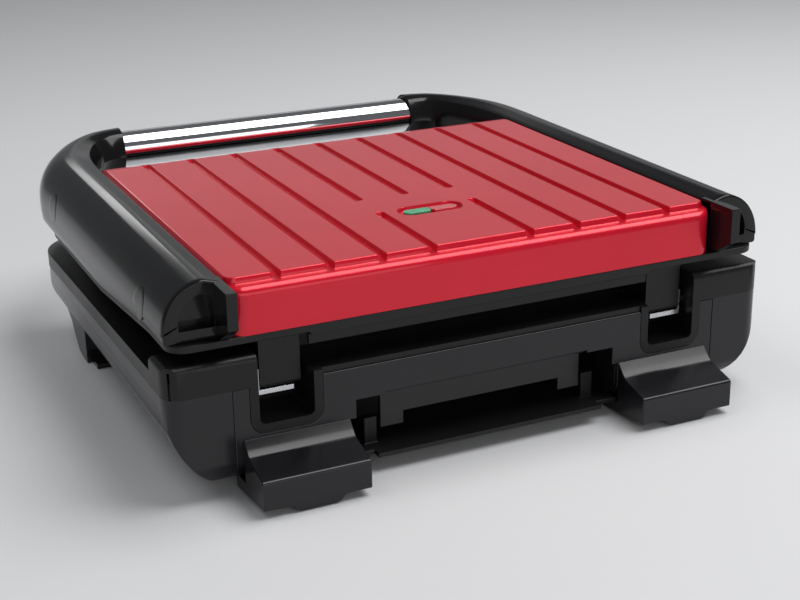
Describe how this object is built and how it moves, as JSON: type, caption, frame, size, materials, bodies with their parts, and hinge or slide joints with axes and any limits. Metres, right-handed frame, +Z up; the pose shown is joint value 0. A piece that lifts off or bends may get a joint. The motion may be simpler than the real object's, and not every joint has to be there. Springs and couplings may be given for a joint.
{
  "type": "electric indoor grill",
  "caption": "Countertop contact grill with a ribbed metal lid, side arms, a tube handle, a floating hinge, tilted plates and a drip tray.",
  "frame": {"origin": "on the table, at the middle of the grill's width and of its depth from handle to rear feet", "axes": "+Z up, +X to the right of someone who stands at the handle with the hinges behind the lid, +Y to the rear, towards the hinges; the handle is at -Y"},
  "size_m": [0.334, 0.35, 0.1105],
  "materials": {
    "red_metal": "gloss metallic paint",
    "gloss_black": "high gloss",
    "base_black": "gloss",
    "satin_black": "fine texture",
    "chrome": "polished",
    "coated_plate": "cast aluminium with a dark non-stick coating",
    "sheet_aluminium": "plain sheet",
    "steel": "zinc plated",
    "heater_sheath": "oxidised sheath",
    "light_plastic": "plain moulded",
    "rubber": "matt",
    "lamp_glass": "clear",
    "green_lens": "translucent",
    "red_lens": "translucent"
  },
  "bodies": {
    "base": {"base_shell": "base_black", "base_rim": "satin_black", "rear_panel": "base_black", "bottom_cover": "satin_black", "rear_foot_left": "base_black", "rear_foot_right": "base_black", "front_foot_left": "base_black", "front_foot_right": "base_black", "foot_pads": "rubber", "lower_plate": "coated_plate", "lower_heater": "heater_sheath", "lower_heater_clamps": "steel", "lower_reflector": "sheet_aluminium", "lower_thermostat": "light_plastic", "thermal_fuse": "light_plastic", "terminal_block": "light_plastic", "cord_gland": "rubber", "bottom_screws": "steel", "lower_plate_screws": "steel"},
    "hinge_carriage": {"hinge_pin_left": "steel", "hinge_pin_right": "steel", "hinge_slider_left": "light_plastic", "hinge_slider_right": "light_plastic"},
    "lid": {"lid_cover": "red_metal", "lid_housing": "satin_black", "arm_left": "gloss_black", "arm_right": "gloss_black", "handle_tube": "chrome", "arm_plugs": "gloss_black", "arm_screws": "steel", "hinge_leg_left": "satin_black", "hinge_leg_right": "satin_black", "hinge_strap_left": "steel", "hinge_strap_right": "steel", "leg_screws": "steel", "upper_plate": "coated_plate", "upper_plate_screws": "steel", "upper_heater": "heater_sheath", "upper_heater_clamps": "steel", "upper_reflector": "sheet_aluminium", "upper_thermostat": "light_plastic", "lamp_holder": "light_plastic", "indicator_lamps": "lamp_glass", "green_lens": "green_lens", "red_lens": "red_lens"},
    "tray": {"drip_tray": "satin_black"}
  },
  "joints": [
    {"name": "hinge_lift", "type": "slide", "parent": "base", "child": "hinge_carriage", "axis": [0, 0, 1], "range_m": [0, 0.012]},
    {"name": "lid_hinge", "type": "hinge", "parent": "hinge_carriage", "child": "lid", "pos_m": [0, 0.1355, 0.054], "axis": [-1, 0, 0], "range_deg": [0, 95]},
    {"name": "tray_slide", "type": "slide", "parent": "base", "child": "tray", "axis": [0, -1, 0], "range_m": [0, 0.07]}
  ]
}
